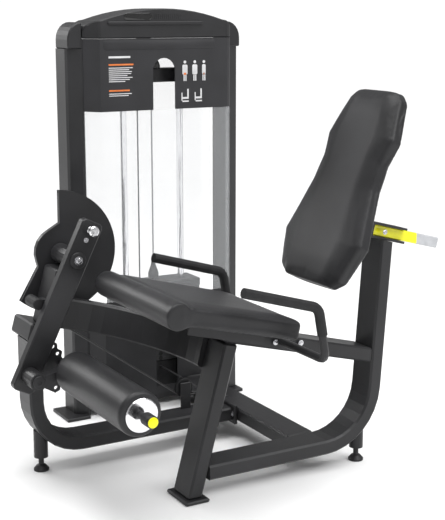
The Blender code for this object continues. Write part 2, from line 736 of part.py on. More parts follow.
def stack_block(name, first, count, parent):
    """Plates stacked into one solid, with a groove at each seam, clear of the rods and the selector stem."""
    rings = []
    low = STACK_BOTTOM + first * PLATE_PITCH
    for i in range(count):
        foot = low + i * PLATE_PITCH
        top = foot + PLATE_PITCH - (GAP if i == count - 1 else 0)
        for z, inset in ((foot, 0.0016), (foot + 0.0016, 0.0), (top - 0.0016, 0.0), (top, 0.0016)):
            if rings and z == foot:
                continue
            half_x, half_y = 0.055 - inset, 0.175 - inset
            outline = rectangle(half_x, half_y, 0.008)
            rings.append([Vector((ROD_X + x, TOWER_Y + y, z)) for x, y in outline])
    block = finish_mesh(name, loft(rings), "cast_plate", parent)
    for side in (-1, 1):
        y = TOWER_Y + side * ROD_HALF
        cut(block, drill(name + "_rod_space", (ROD_X, y, low - 0.01), (0, 0, 1), 0.0150, 0.35, 16))
    cut(block, drill(name + "_stem_space", (ROD_X, TOWER_Y, low - 0.01), (0, 0, 1), 0.0125, 0.35, 16))
    return block


def make_stack():
    stack = joint_empty("stack_joint", (ROD_X, TOWER_Y, STACK_BOTTOM))
    stack_block("resting_plates", 0, PLATES_RESTING, None)
    lifted = stack_block("lifted_plates", PLATES_RESTING, PLATES_LIFTED, stack)
    top = STACK_BOTTOM + (PLATES_RESTING + PLATES_LIFTED) * PLATE_PITCH
    plate = box(
        "top_plate", (ROD_X - 0.055, TOWER_Y - 0.175, top), (ROD_X + 0.055, TOWER_Y + 0.175, top + 0.030),
        "cast_plate", stack, bevel=0.003,
    )
    for side in (-1, 1):
        y = TOWER_Y + side * ROD_HALF
        cut(plate, drill("plate_rod_space", (ROD_X, y, top - 0.01), (0, 0, 1), 0.0150, 0.06, 16))
    crown = top + 0.030
    stem = turned(
        "stem_form",
        [(0, STACK_BOTTOM + 0.004), (0.0115, STACK_BOTTOM + 0.004), (0.0115, crown + 0.012), (0.020, crown + 0.013),
         (0.020, crown + 0.030), (0.009, crown + 0.060), (0.006, crown + 0.083), (0, crown + 0.083)],
        (ROD_X, TOWER_Y, 0), (0, 0, 1), "cast_plate", 16,
    )
    merge(plate, stem)
    z = STACK_BOTTOM + (PLATES_RESTING + 0.5) * PLATE_PITCH
    face = ROD_X + 0.055
    cut(lifted, drill("pin_space", (face - 0.045, TOWER_Y, z), (1, 0, 0), 0.0060, 0.08, 12))
    pin = joint_empty("pin_joint", (face, TOWER_Y, z))
    turned(
        "selector_pin",
        [(0, -0.0405), (0.0048, -0.0405), (0.0048, 0.0008), (0.009, 0.0012), (0.009, 0.007), (0.016, 0.011),
         (0.016, 0.017), (0.013, 0.019), (0, 0.019)],
        (face, TOWER_Y, z), (1, 0, 0), "black_plastic", 16, pin,
    )
    turned(
        "stack_cable", [(0, crown + 0.0834), (CABLE_R, crown + 0.0834), (CABLE_R, TOP_PULLEY_Z - GAP),
                        (0, TOP_PULLEY_Z - GAP)], (ROD_X, TOWER_Y, 0), (0, 0, 1), "cable_steel", 8, stack,
    )


def pulley(name, centre, axis, radius, half):
    """A grooved wheel whose cable centre line is at the radius."""
    groove = radius - CABLE_R - 0.0010
    spin = joint_empty(name + "_joint", centre)
    rim = radius + 0.004
    profile = [
        (0.0046, -half), (rim - 0.0015, -half), (rim, -half + 0.0012), (groove, -0.0036), (groove, 0.0036),
        (rim, half - 0.0012), (rim - 0.0015, half), (0.0046, half),
    ]
    turned(name, profile, centre, axis, "black_plastic", 28, spin)


def quarter(centre, radius, first, second, start, end, steps=6):
    """Points round a pulley, from the start angle to the end angle in the plane of two unit vectors."""
    centre, first, second = Vector(centre), Vector(first), Vector(second)
    points = []
    for i in range(steps + 1):
        turn = start + (end - start) * i / steps
        points.append(centre + (first * cos(turn) + second * sin(turn)) * radius)
    return points


def leave_angle():
    """Where the cable leaves the cam for the front low pulley, as an angle from +Y towards +Z."""
    across, up = LOW_PULLEY_Y - PIVOT_Y, LOW_PULLEY_Z - PIVOT_Z
    reach = (across * across + up * up) ** 0.5
    return atan2(up, across) - acos((CAM_GROOVE - LOW_PULLEY_R) / reach)


def make_cable():
    pulley("front_low_pulley", (CAM_X, LOW_PULLEY_Y, LOW_PULLEY_Z), (1, 0, 0), LOW_PULLEY_R, 0.0062)
    pulley("side_low_pulley", (SIDE_PULLEY_X, SIDE_PULLEY_Y, LOW_CABLE_Z), (0, 0, 1), LOW_PULLEY_R, 0.0062)
    pulley("back_low_pulley", (BACK_PULLEY_X, TOWER_Y, LOW_PULLEY_Z), (0, 1, 0), LOW_PULLEY_R, 0.0062)
    pulley("top_pulley", (TOP_PULLEY_X, TOWER_Y, TOP_PULLEY_Z), (0, 1, 0), TOP_PULLEY_R, 0.0065)

    leave = leave_angle()
    y, z = Vector((0, 1, 0)), Vector((0, 0, 1))
    outwards = y * cos(leave) + z * sin(leave)
    contact = Vector((CAM_X, PIVOT_Y, PIVOT_Z)) + outwards * CAM_GROOVE
    front = Vector((CAM_X, LOW_PULLEY_Y, LOW_PULLEY_Z))
    away = (front + outwards * LOW_PULLEY_R - contact).normalized()
    route = [contact + away * CAM_CABLE_CLEAR]
    route += quarter(front, LOW_PULLEY_R, y, z, leave, -pi / 2, 4)
    side = (SIDE_PULLEY_X, SIDE_PULLEY_Y, LOW_CABLE_Z)
    route += quarter(side, LOW_PULLEY_R, (1, 0, 0), y, 0.0, pi / 2)
    route += quarter((BACK_PULLEY_X, TOWER_Y, LOW_PULLEY_Z), LOW_PULLEY_R, (-1, 0, 0), z, -pi / 2, 0.0)
    route += quarter((TOP_PULLEY_X, TOWER_Y, TOP_PULLEY_Z), TOP_PULLEY_R, (-1, 0, 0), z, 0.0, pi, 12)
    sweep("drive_cable", route, circle(CABLE_R, 8), "cable_steel")


# Lever arm, cam and roller


def about_pivot(radius, turn):
    return (PIVOT_Y + radius * cos(turn), PIVOT_Z + radius * sin(turn))


def cam_outline(rim):
    """The cam's edge with this rim radius: a long arc, then back to the hub and up to the arc's start."""
    points = [about_pivot(rim, t) for t in [radians(88) + (CAM_TIP - radians(88)) * i / 40 for i in range(41)]]
    points.append((PIVOT_Y - 0.071, PIVOT_Z - 0.043))
    points += [about_pivot(0.080, t) for t in [radians(200 - 17 * i) for i in range(6)]]
    points.append((PIVOT_Y + 0.006, PIVOT_Z + 0.095))
    return points


def make_cam(swing):
    low, high, lip = CAM_X - CAM_WIDTH / 2, CAM_X + CAM_WIDTH / 2, 0.0052
    full, core = cam_outline(CAM_R), cam_outline(CAM_GROOVE - CABLE_R - 0.0008)
    stations = [(low, full), (low + lip, full), (low + lip + 0.0004, core), (high - lip - 0.0004, core),
                (high - lip, full), (high, full)]
    rings = [[Vector((x, *p)) for p in outline] for x, outline in stations]
    disc = finish_mesh("cam_disc", loft(rings), "frame_paint", swing)
    shaft = turned(
        "shaft_form", [(0, -0.503), (0.022, -0.503), (0.024, -0.500), (0.024, -0.4765), (0.0125, -0.4765),
                       (0.0125, -0.326), (0, -0.326)], (0, PIVOT_Y, PIVOT_Z), (1, 0, 0), "frame_paint", 20,
    )
    merge(disc, shaft)
    y, z = (0, 1, 0), (0, 0, 1)
    cord = quarter((CAM_X, PIVOT_Y, PIVOT_Z), CAM_GROOVE, y, z, CAM_TIP + radians(0.5), CAM_CABLE_END, 28)
    sweep("cam_cable", cord, circle(CABLE_R, 8), "cable_steel", side=(1, 0, 0), parent=swing)


def on_arm(along, across=0.0):
    """A (y, z) point measured up the arm from the pivot, and across it towards +Y."""
    return (
        PIVOT_Y + along * sin(ARM_LEAN) + across * cos(ARM_LEAN),
        PIVOT_Z + along * cos(ARM_LEAN) - across * sin(ARM_LEAN),
    )


def make_arm(swing):
    half = ARM_WIDE / 2
    corner = 0.010
    ends = (
        (ARM_ABOVE, half - corner), (ARM_ABOVE - corner, half), (-ARM_BELOW + corner, half),
        (-ARM_BELOW, half - corner), (-ARM_BELOW, -half + corner), (-ARM_BELOW + corner, -half),
        (ARM_ABOVE - corner, -half), (ARM_ABOVE, -half + corner),
    )
    arm = prism("lever_arm", [on_arm(a, b) for a, b in ends], ARM_X - ARM_THICK, ARM_THICK, "frame_paint", "X", swing)
    bevelled(arm, 0.003)
    cut(arm, drill("arm_shaft_space", (ARM_X - ARM_THICK - 0.01, PIVOT_Y, PIVOT_Z), (1, 0, 0), 0.0130, 0.038, 20))
    hub = on_arm(-HUB_DROP)
    tube = turned(
        "hub_form", [(0, -0.325), (0.028, -0.325), (0.028, -0.2845), (0.0140, -0.2842), (0.0140, -0.2396), (0, -0.2396)],
        (0, *hub), (1, 0, 0), "frame_paint", 24,
    )
    merge(arm, tube)
    pin_at = on_arm(0.104)
    start = (ARM_X, *pin_at)
    cut(arm, drill("start_pin_space", (ARM_X - ARM_THICK - 0.01, *pin_at), (1, 0, 0), 0.0062, 0.06, 12))
    pull = joint_empty("start_pin_joint", start)
    turned(
        "start_pin", [(0, -0.038), (0.0055, -0.038), (0.0055, 0.0006), (0.013, 0.0008), (0.013, 0.006), (0.008, 0.010),
                      (0.008, 0.016), (0.017, 0.021), (0.017, 0.029), (0.013, 0.033), (0, 0.033)],
        start, (1, 0, 0), "chrome", 20, pull,
    )
    make_index_plate(hub, swing)
    return hub


def roller_direction():
    hub = on_arm(-HUB_DROP)
    return atan2(ROLLER_Z - hub[1], ROLLER_Y - hub[0])


def roller_reach():
    hub = on_arm(-HUB_DROP)
    return ((ROLLER_Y - hub[0]) ** 2 + (ROLLER_Z - hub[1]) ** 2) ** 0.5


def make_index_plate(hub, swing):
    """A scalloped plate on the arm's far side, with a hole for each place the roller can be locked."""
    reach, middle = roller_reach(), roller_direction()
    step = radians(INDEX_STEP)
    outline = []
    for i in range(-3 * 8 - 4, 3 * 8 + 5):
        turn = middle + step * i / 8
        outline.append((reach + 0.012 + 0.004 * cos(2 * pi * i / 8), turn))
    points = [(hub[0] + r * cos(t), hub[1] + r * sin(t)) for r, t in outline]
    last, first = outline[-1][1], outline[0][1]
    points += [(hub[0] + 0.030 * cos(last + 0.6), hub[1] + 0.030 * sin(last + 0.6))]
    points += [(hub[0] + 0.030 * cos(first - 0.6), hub[1] + 0.030 * sin(first - 0.6))]
    back = ARM_X - ARM_THICK - 0.0004
    plate = prism("index_plate", points, back - 0.008, 0.008, "frame_paint", "X", swing)
    for i in range(-3, 4):
        turn = middle + step * i
        place = (back - 0.02, hub[0] + reach * cos(turn), hub[1] + reach * sin(turn))
        cut(plate, drill("index_hole", place, (1, 0, 0), 0.0066, 0.04, 12))


def make_roller(hub):
    crank = joint_empty("crank_joint", (ARM_X, *hub))
    centre = (0, ROLLER_Y, ROLLER_Z)
    boss = turned(
        "roller_crank", [(0.0146, -0.2838), (0.028, -0.2838), (0.028, -0.2400), (0.0146, -0.2400)], (0, *hub),
        (1, 0, 0), "frame_paint", 24, crank,
    )
    turn = roller_direction()
    bar = [
        (hub[0] + a * cos(turn) - b * sin(turn), hub[1] + a * sin(turn) + b * cos(turn))
        for a, b in ((0.0225, -0.013), (roller_reach() + 0.016, -0.013), (roller_reach() + 0.016, 0.013), (0.0225, 0.013))
    ]
    merge(boss, prism("crank_bar_form", bar, -0.281, 0.038, "frame_paint"))
    merge(boss, turned(
        "axle_form", [(0, -0.350), (0.0110, -0.350), (0.0110, 0.252), (0, 0.252)], centre, (1, 0, 0), "frame_paint", 20,
    ))
    cut(boss, drill("axle_bore", (-0.36, ROLLER_Y, ROLLER_Z), (1, 0, 0), 0.0062, 0.64, 12))

    spin = joint_empty("roller_joint", centre)
    bore = 0.0116
    turned(
        "roller_pad", [(bore, -ROLLER_HALF), (ROLLER_R - 0.008, -ROLLER_HALF), (ROLLER_R, -ROLLER_HALF + 0.008),
                       (ROLLER_R, ROLLER_HALF - 0.008), (ROLLER_R - 0.008, ROLLER_HALF), (bore, ROLLER_HALF)],
        centre, (1, 0, 0), "upholstery", 32, spin,
    )
    turned(
        "roller_end_disc", [(bore, 0.2364), (0.050, 0.2364), (0.050, 0.2400), (0.047, 0.2422), (bore, 0.2422)],
        centre, (1, 0, 0), "chrome", 32, spin,
    )
    knob = joint_empty("roller_knob_joint", (0.252, ROLLER_Y, ROLLER_Z))
    turned(
        "roller_knob", [(0, -0.3529), (0.0055, -0.3529), (0.0055, 0.2526), (0.012, 0.2530), (0.012, 0.262),
                        (0.019, 0.268), (0.019, 0.304), (0.016, 0.309), (0, 0.309)],
        centre, (1, 0, 0), "black_plastic", 20, knob,
    )


def main():
    clear_scene()
    make_front_leg()
    make_base()
    make_riser()
    make_curved_beam()
    make_feet()
    make_pivot_post()
    make_seat()
    make_handles()
    make_backrest()
    make_columns()
    make_tower_walls()
    make_tower_covers()
    make_tower_inside()
    make_stack()
    make_cable()
    swing = joint_empty("swing_joint", (ARM_X, PIVOT_Y, PIVOT_Z))
    make_cam(swing)
    hub = make_arm(swing)
    make_roller(hub)


main()
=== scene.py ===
"""Looks of the leg extension machine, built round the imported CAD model.

It adds the upholstery, the finishes, the fasteners and the tower's trim. Metres, +Z up, in the
frame's own axes: the user faces -Y and the weight tower stands at -X.
"""

import json
from math import cos, pi, radians, sin

import bmesh
import bpy
from mathutils import Matrix, Vector


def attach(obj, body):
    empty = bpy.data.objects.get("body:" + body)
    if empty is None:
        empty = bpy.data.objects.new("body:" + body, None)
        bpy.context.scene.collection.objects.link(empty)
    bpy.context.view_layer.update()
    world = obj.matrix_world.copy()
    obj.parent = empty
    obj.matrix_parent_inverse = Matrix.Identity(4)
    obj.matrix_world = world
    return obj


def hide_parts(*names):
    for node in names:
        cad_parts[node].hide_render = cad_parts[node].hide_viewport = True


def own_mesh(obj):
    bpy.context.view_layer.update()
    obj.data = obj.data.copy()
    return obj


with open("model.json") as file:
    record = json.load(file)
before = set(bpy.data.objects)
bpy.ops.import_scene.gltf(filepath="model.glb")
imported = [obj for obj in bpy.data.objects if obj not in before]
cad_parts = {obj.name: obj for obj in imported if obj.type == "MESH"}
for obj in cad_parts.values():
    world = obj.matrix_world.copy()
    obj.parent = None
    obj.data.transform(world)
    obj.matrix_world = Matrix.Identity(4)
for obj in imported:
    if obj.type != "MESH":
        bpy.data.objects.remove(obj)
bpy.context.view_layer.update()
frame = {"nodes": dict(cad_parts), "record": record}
NODES = frame["nodes"]

SEAT_SLOPE = radians(14.7)
BACK_RECLINE = radians(24.3)
PIVOT = Vector((-0.320, -0.219, 0.7225))
ROLLER = Vector((0.0, -0.274, 0.390))
LEVER_YELLOW_END = 0.868  # the lever is yellow nearer the hinge than this y; beyond it a flat grey is a painted reflection of the white surroundings


# Materials


def shader_tree(name, colour, rough, metal=0.0, **sockets):
    """A new material with its Principled shader's own sockets set: (material, its tree, the shader)."""
    made = bpy.data.materials.new(name)
    made.use_nodes = True
    tree = made.node_tree
    shader = tree.nodes["Principled BSDF"]
    shader.inputs["Base Color"].default_value = (*colour, 1.0)
    shader.inputs["Roughness"].default_value = rough
    shader.inputs["Metallic"].default_value = metal
    for socket, value in sockets.items():
        shader.inputs[socket.replace("_", " ")].default_value = value
    return made, tree, shader


def noise_field(tree, scale, detail=4.0, kind="ShaderNodeTexNoise", stretch=(1, 1, 1)):
    """A noise or cell texture in the object's own metres."""
    place = tree.nodes.new("ShaderNodeTexCoord")
    fit = tree.nodes.new("ShaderNodeMapping")
    fit.inputs["Scale"].default_value = stretch
    field = tree.nodes.new(kind)
    field.inputs["Scale"].default_value = scale
    if kind == "ShaderNodeTexNoise":
        field.inputs["Detail"].default_value = detail
    tree.links.new(place.outputs["Object"], fit.inputs["Vector"])
    tree.links.new(fit.outputs["Vector"], field.inputs["Vector"])
    return field


def ramp(tree, source, low, high, start=0.3, end=0.7):
    """A ramp between two greys or colours, driven by a texture's output."""
    made = tree.nodes.new("ShaderNodeValToRGB")
    for stop, place, value in zip(made.color_ramp.elements, (start, end), (low, high)):
        stop.position = place
        stop.color = (*value, 1.0) if isinstance(value, tuple) else (value, value, value, 1.0)
    tree.links.new(source, made.inputs["Fac"])
    return made.outputs["Color"]


def bump(tree, shader, height, strength, distance):
    made = tree.nodes.new("ShaderNodeBump")
    made.inputs["Strength"].default_value = strength
    made.inputs["Distance"].default_value = distance
    tree.links.new(height, made.inputs["Height"])
    tree.links.new(made.outputs["Normal"], shader.inputs["Normal"])


def powder_coat():
    made, tree, shader = shader_tree("powder coat", (0.020, 0.020, 0.021), 0.40, Specular_IOR_Level=0.32)
    broad = noise_field(tree, 6.0, 3.0)
    colour = ramp(tree, broad.outputs["Fac"], (0.016, 0.016, 0.017), (0.026, 0.026, 0.028))
    tree.links.new(colour, shader.inputs["Base Color"])
    tree.links.new(ramp(tree, broad.outputs["Fac"], 0.34, 0.46), shader.inputs["Roughness"])
    bump(tree, shader, noise_field(tree, 900.0, 2.0).outputs["Fac"], 0.25, 0.0003)
    return made


def leatherette():
    made, tree, shader = shader_tree("leatherette", (0.018, 0.018, 0.019), 0.40, Specular_IOR_Level=0.30)
    cells = noise_field(tree, 420.0, kind="ShaderNodeTexVoronoi")
    broad = noise_field(tree, 5.0, 3.0)
    colour = ramp(tree, broad.outputs["Fac"], (0.015, 0.015, 0.016), (0.026, 0.026, 0.028))
    tree.links.new(colour, shader.inputs["Base Color"])
    tree.links.new(ramp(tree, cells.outputs["Distance"], 0.34, 0.46, 0.0, 0.8), shader.inputs["Roughness"])
    bump(tree, shader, cells.outputs["Distance"], 0.30, 0.0006)
    return made


def grip_rubber():
    made, tree, shader = shader_tree("grip rubber", (0.011, 0.011, 0.012), 0.62, Specular_IOR_Level=0.30)
    broad = noise_field(tree, 30.0, 4.0)
    colour = ramp(tree, broad.outputs["Fac"], (0.009, 0.009, 0.010), (0.018, 0.018, 0.019))
    tree.links.new(colour, shader.inputs["Base Color"])
    bump(tree, shader, noise_field(tree, 700.0, 3.0).outputs["Fac"], 0.35, 0.0006)
    return made


def moulded_plastic(name, low, high, rough=(0.42, 0.54)):
    made, tree, shader = shader_tree(name, low, rough[0], Specular_IOR_Level=0.30)
    broad = noise_field(tree, 9.0, 3.0)
    colour = ramp(tree, broad.outputs["Fac"], low, high)
    tree.links.new(colour, shader.inputs["Base Color"])
    tree.links.new(ramp(tree, broad.outputs["Fac"], rough[0], rough[1]), shader.inputs["Roughness"])
    bump(tree, shader, noise_field(tree, 1200.0, 2.0).outputs["Fac"], 0.20, 0.0002)
    return made


def clear_sheet():
    made, tree, shader = shader_tree("clear sheet", (0.93, 0.95, 0.97), 0.08, Alpha=0.10)
    haze = noise_field(tree, 3.0, 3.0, stretch=(1, 1, 0.3))
    tree.links.new(ramp(tree, haze.outputs["Fac"], 0.05, 0.14), shader.inputs["Roughness"])
    return made


def polished(name, colour, rough):
    made, tree, shader = shader_tree(name, colour, rough, 1.0)
    scuffs = noise_field(tree, 60.0, 3.0)
    tree.links.new(ramp(tree, scuffs.outputs["Fac"], rough * 0.6, rough * 1.7), shader.inputs["Roughness"])
    bump(tree, shader, scuffs.outputs["Fac"], 0.02, 0.0001)
    return made


def cast_iron():
    made, tree, shader = shader_tree("cast plates", (0.030, 0.030, 0.032), 0.55, Specular_IOR_Level=0.35)
    broad = noise_field(tree, 20.0, 5.0)
    colour = ramp(tree, broad.outputs["Fac"], (0.020, 0.020, 0.021), (0.046, 0.046, 0.048))
    tree.links.new(colour, shader.inputs["Base Color"])
    bump(tree, shader, noise_field(tree, 500.0, 4.0).outputs["Fac"], 0.4, 0.0006)
    return made


def cable_coat(name, low, high):
    made, tree, shader = shader_tree(name, low, 0.40)
    lay = noise_field(tree, 900.0, 2.0, stretch=(1, 1, 0.25))
    tree.links.new(ramp(tree, lay.outputs["Fac"], low, high), shader.inputs["Base Color"])
    bump(tree, shader, lay.outputs["Fac"], 0.4, 0.0003)
    return made


def lever_yellow_and_painted_reflection():
    """Yellow sleeve near the hinge; beyond it, a flat grey painted reflection of the white surroundings."""
    made, tree, shader = shader_tree("lever yellow and painted reflection", (0.92, 0.86, 0.0), 0.30, Coat_Weight=0.3)
    place = tree.nodes.new("ShaderNodeTexCoord")
    split = tree.nodes.new("ShaderNodeSeparateXYZ")
    tree.links.new(place.outputs["Object"], split.inputs["Vector"])
    step = tree.nodes.new("ShaderNodeMath")
    step.operation = "GREATER_THAN"
    step.inputs[1].default_value = LEVER_YELLOW_END
    tree.links.new(split.outputs["Y"], step.inputs[0])
    mix = tree.nodes.new("ShaderNodeMix")
    mix.data_type = "RGBA"
    tree.links.new(step.outputs[0], mix.inputs["Factor"])
    tint = noise_field(tree, 40.0, 3.0)
    tree.links.new(ramp(tree, tint.outputs["Fac"], (0.84, 0.80, 0.0), (0.90, 0.87, 0.0)), mix.inputs[6])
    # painted reflection: past the yellow, a flat grey stands for the white surroundings mirrored in the
    # lever's shiny end
    tree.links.new(ramp(tree, tint.outputs["Fac"], (0.42, 0.43, 0.45), (0.52, 0.53, 0.55)), mix.inputs[7])
    tree.links.new(mix.outputs[2], shader.inputs["Base Color"])
    bump(tree, shader, noise_field(tree, 800.0, 2.0).outputs["Fac"], 0.1, 0.0002)
    return made


def plain_finish(name, low, high, rough, **sockets):
    """A finish for small marks and caps: faint colour variation and a fine grain."""
    made, tree, shader = shader_tree(name, low, rough, **sockets)
    field = noise_field(tree, 30.0, 3.0)
    tree.links.new(ramp(tree, field.outputs["Fac"], low, high), shader.inputs["Base Color"])
    bump(tree, shader, noise_field(tree, 900.0, 2.0).outputs["Fac"], 0.08, 0.0002)
    return made


FINISH = {
    "frame_paint": powder_coat(),
    "upholstery": leatherette(),
    "grip_rubber": grip_rubber(),
    "black_plastic": moulded_plastic("moulded plastic", (0.016, 0.016, 0.017), (0.024, 0.024, 0.026)),
    "panel_print": moulded_plastic("panel print", (0.024, 0.024, 0.026), (0.031, 0.031, 0.034), (0.45, 0.55)),
    "clear_sheet": clear_sheet(),
    "chrome": polished("chrome", (0.82, 0.82, 0.84), 0.12),
    "yellow_plastic": lever_yellow_and_painted_reflection(),
    "cable_steel": cable_coat("cable coat", (0.020, 0.020, 0.021), (0.038, 0.038, 0.040)),
    "lift_cable_coat": cable_coat("lift cable coat", (0.20, 0.20, 0.21), (0.30, 0.30, 0.31)),
    "cast_plate": cast_iron(),
    "bolt_steel": polished("bolt steel", (0.55, 0.55, 0.57), 0.22),
    "white_mark": plain_finish("white mark", (0.62, 0.62, 0.63), (0.72, 0.72, 0.73), 0.5),
    "orange_mark": plain_finish("orange mark", (0.70, 0.17, 0.03), (0.80, 0.22, 0.05), 0.5),
    "yellow_cap": plain_finish("yellow cap", (0.86, 0.82, 0.0), (0.92, 0.89, 0.0), 0.30),
    "badge_black": plain_finish(
        "badge black", (0.004, 0.004, 0.004), (0.008, 0.008, 0.008), 0.15, Coat_Weight=0.6
    ),
    # painted shade: near-black for the shade inside the stack's pin holes
    "painted_hole_shade": plain_finish("painted hole shade", (0.002, 0.002, 0.002), (0.004, 0.004, 0.004), 0.8),
}


def dress_nodes():
    """Gives each CAD node the finish of its material slot."""
    slot_of = {part["node"]: part["material_slot"] for part in frame["record"]["subparts"]}
    for name, obj in NODES.items():
        obj.data.materials.clear()
        obj.data.materials.append(FINISH[slot_of[name]])


# Building pieces


SHARP_ANGLE = radians(35)
SUNK = 0.0004  # how far a fastener starts inside what it sits on


def add_piece(name, shape, finish, body):
    """Makes a bmesh a piece with its finish, riding on a body."""
    mesh = bpy.data.meshes.new(name)
    bmesh.ops.recalc_face_normals(shape, faces=shape.faces)
    shape.to_mesh(mesh)
    shape.free()
    mesh.shade_smooth()
    mesh.set_sharp_from_angle(angle=SHARP_ANGLE)
    obj = bpy.data.objects.new(name, mesh)
    bpy.context.scene.collection.objects.link(obj)
    mesh.materials.append(FINISH[finish])
    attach(obj, body)
    return obj


def facing(axis):
    """A rotation that takes +Z to this direction."""
    return Vector((0, 0, 1)).rotation_difference(Vector(axis).normalized()).to_matrix().to_4x4()


def add_turned(shape, profile, at, axis, sides=24):
    """Adds a turned solid to the bmesh: profile is (radius, height) from axis to axis."""
    place = Matrix.Translation(Vector(at)) @ facing(axis)
    rings = []
    for radius, height in profile:
        if radius == 0:
            rings.append([shape.verts.new(place @ Vector((0, 0, height)))])
            continue
        turns = [2 * pi * i / sides for i in range(sides)]
        spots = [Vector((radius * cos(turn), radius * sin(turn), height)) for turn in turns]
        rings.append([shape.verts.new(place @ spot) for spot in spots])
    for low, high in zip(rings, rings[1:]):
        for i in range(sides):
            j = (i + 1) % sides
            corners = [low[i % len(low)], low[j % len(low)], high[j % len(high)], high[i % len(high)]]
            shape.faces.new(list(dict.fromkeys(corners)))


def add_bolt(shape, at, axis, radius):
    """A hexagon head over a washer, with a dished top."""
    height = radius * 0.7
    washer = [(0, -SUNK), (radius * 1.45, -SUNK), (radius * 1.45, radius * 0.16), (0, radius * 0.16)]
    add_turned(shape, washer, at, axis, 24)
    head = [
        (0, radius * 0.16), (radius, radius * 0.16), (radius, height * 0.88), (radius * 0.86, height),
        (radius * 0.45, height), (radius * 0.35, height * 0.8), (0, height * 0.8),
    ]
    add_turned(shape, head, at, axis, 6)


def add_dome(shape, at, axis, radius, height):
    """A round cap bolt with a rounded rim and a small socket."""
    profile = [
        (0, -SUNK), (radius, -SUNK), (radius, height * 0.55), (radius * 0.93, height * 0.85),
        (radius * 0.75, height), (radius * 0.34, height), (radius * 0.30, height * 0.6), (0, height * 0.6),
    ]
    add_turned(shape, profile, at, axis, 28)


def add_block(shape, low, high):
    """Adds a box between two corners to the bmesh."""
    low, high = Vector(low), Vector(high)
    place = Matrix.Translation((low + high) / 2) @ Matrix.Diagonal((*(high - low), 1.0))
    bmesh.ops.create_cube(shape, size=1.0, matrix=place)


def soften(obj, width):
    """Rounds the edges of a blocky piece."""
    edge = obj.modifiers.new("soft edges", "BEVEL")
    edge.width = width
    edge.segments = 2
    edge.limit_method = "ANGLE"
    edge.angle_limit = radians(40)


# Upholstery

PRESSURE = 4.0  # the cloth's blow-up pressure
SETTLE_FRAMES = 20
PINNED_DEPTH = 0.004  # points this near the plate behind or under a pad are held


def copy_of(node, name):
    """A node's mesh as a piece of its own, with one finish."""
    mesh = NODES[node].data.copy()
    mesh.name = name
    mesh.materials.clear()
    mesh.materials.append(FINISH["upholstery"])
    obj = bpy.data.objects.new(name, mesh)
    bpy.context.scene.collection.objects.link(obj)
    shape = bmesh.new()
    shape.from_mesh(mesh)
    bmesh.ops.remove_doubles(shape, verts=shape.verts, dist=1e-5)
    shape.to_mesh(mesh)
    shape.free()
    return obj


def apply_modifiers(obj):
    """Turns what the modifiers make into the mesh itself."""
    graph = bpy.context.evaluated_depsgraph_get()
    made = bpy.data.meshes.new_from_object(obj.evaluated_get(graph))
    obj.modifiers.clear()
    obj.data = made
    made.materials.clear()
    made.materials.append(FINISH["upholstery"])


def swell(obj, pinned, cap):
    """Blows the pad's skin up as cloth, with the pinned side held, and caps how far a point moves."""
    start = [v.co.copy() for v in obj.data.vertices]
    held = obj.vertex_groups.new(name="held")
    held.add([i for i, co in enumerate(start) if pinned(co)], 1.0, "REPLACE")
    cloth = obj.modifiers.new("skin", "CLOTH")
    facts = cloth.settings
    facts.quality = 5
    facts.mass = 0.3
    facts.tension_stiffness = facts.compression_stiffness = 15
    facts.use_pressure = True
    facts.uniform_pressure_force = PRESSURE
    facts.vertex_group_mass = "held"
    facts.effector_weights.gravity = 0
    cloth.collision_settings.use_collision = False
    scene = bpy.context.scene
    for moment in range(1, SETTLE_FRAMES + 1):
        scene.frame_set(moment)
    graph = bpy.context.evaluated_depsgraph_get()
    moved = [v.co.copy() for v in obj.evaluated_get(graph).data.vertices]
    obj.modifiers.clear()
    for vertex, old, new in zip(obj.data.vertices, start, moved):
        step = new - old
        vertex.co = old + step * min(1.0, cap / max(step.length, 1e-9))
    scene.frame_set(1)


def pad(name, node, body, pinned, inset, cap, voxel=0.006, crown=None):
    """A stuffed pad in a node's place: shrunk, remeshed, blown up as cloth, crowned and smoothed."""
    obj = copy_of(node, name)
    skin = obj.modifiers.new("skin size", "REMESH")
    skin.mode = "VOXEL"
    skin.voxel_size = voxel
    apply_modifiers(obj)
    mesh = obj.data
    normals = [v.normal.copy() for v in mesh.vertices]
    for vertex, normal in zip(mesh.vertices, normals):
        if not pinned(vertex.co):
            vertex.co -= normal * inset
    swell(obj, pinned, cap)
    calm = obj.modifiers.new("calm", "SMOOTH")
    calm.factor = 0.5
    calm.iterations = 2
    apply_modifiers(obj)
    if crown:
        for vertex in obj.data.vertices:
            vertex.co = crown(vertex.co)
    finer = obj.modifiers.new("finer", "SUBSURF")
    finer.levels = finer.render_levels = 1
    apply_modifiers(obj)
    obj.data.shade_smooth()
    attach(obj, body)
    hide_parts(node)


SEAT_FRONT = Vector((0.0, -0.120, 0.690))
SEAT_BACKWARD = Vector((0, cos(SEAT_SLOPE), -sin(SEAT_SLOPE)))
SEAT_UP = Vector((0, sin(SEAT_SLOPE), cos(SEAT_SLOPE)))
SEAT_THICK = 0.066
SEAT_LENGTH = 0.42
SEAT_HALF_FRONT, SEAT_HALF_REAR = 0.250, 0.215
BACK_THICK = 0.060
BACK_FOOT = Vector((0.0, 0.408, 0.655))
BACK_UP = Vector((0, sin(BACK_RECLINE), cos(BACK_RECLINE)))
BACK_OUT = Vector((0, cos(BACK_RECLINE), -sin(BACK_RECLINE)))


def under_seat(point):
    """Whether a point is on the seat's underside, behind the bolster."""
    away = point - SEAT_FRONT
    return away.dot(SEAT_UP) < -SEAT_THICK + PINNED_DEPTH and away.dot(SEAT_BACKWARD) > 0.012


def behind_back(point):
    """Whether a point is on the back pad's rear face."""
    return (point - BACK_FOOT).dot(BACK_OUT) > BACK_THICK - PINNED_DEPTH


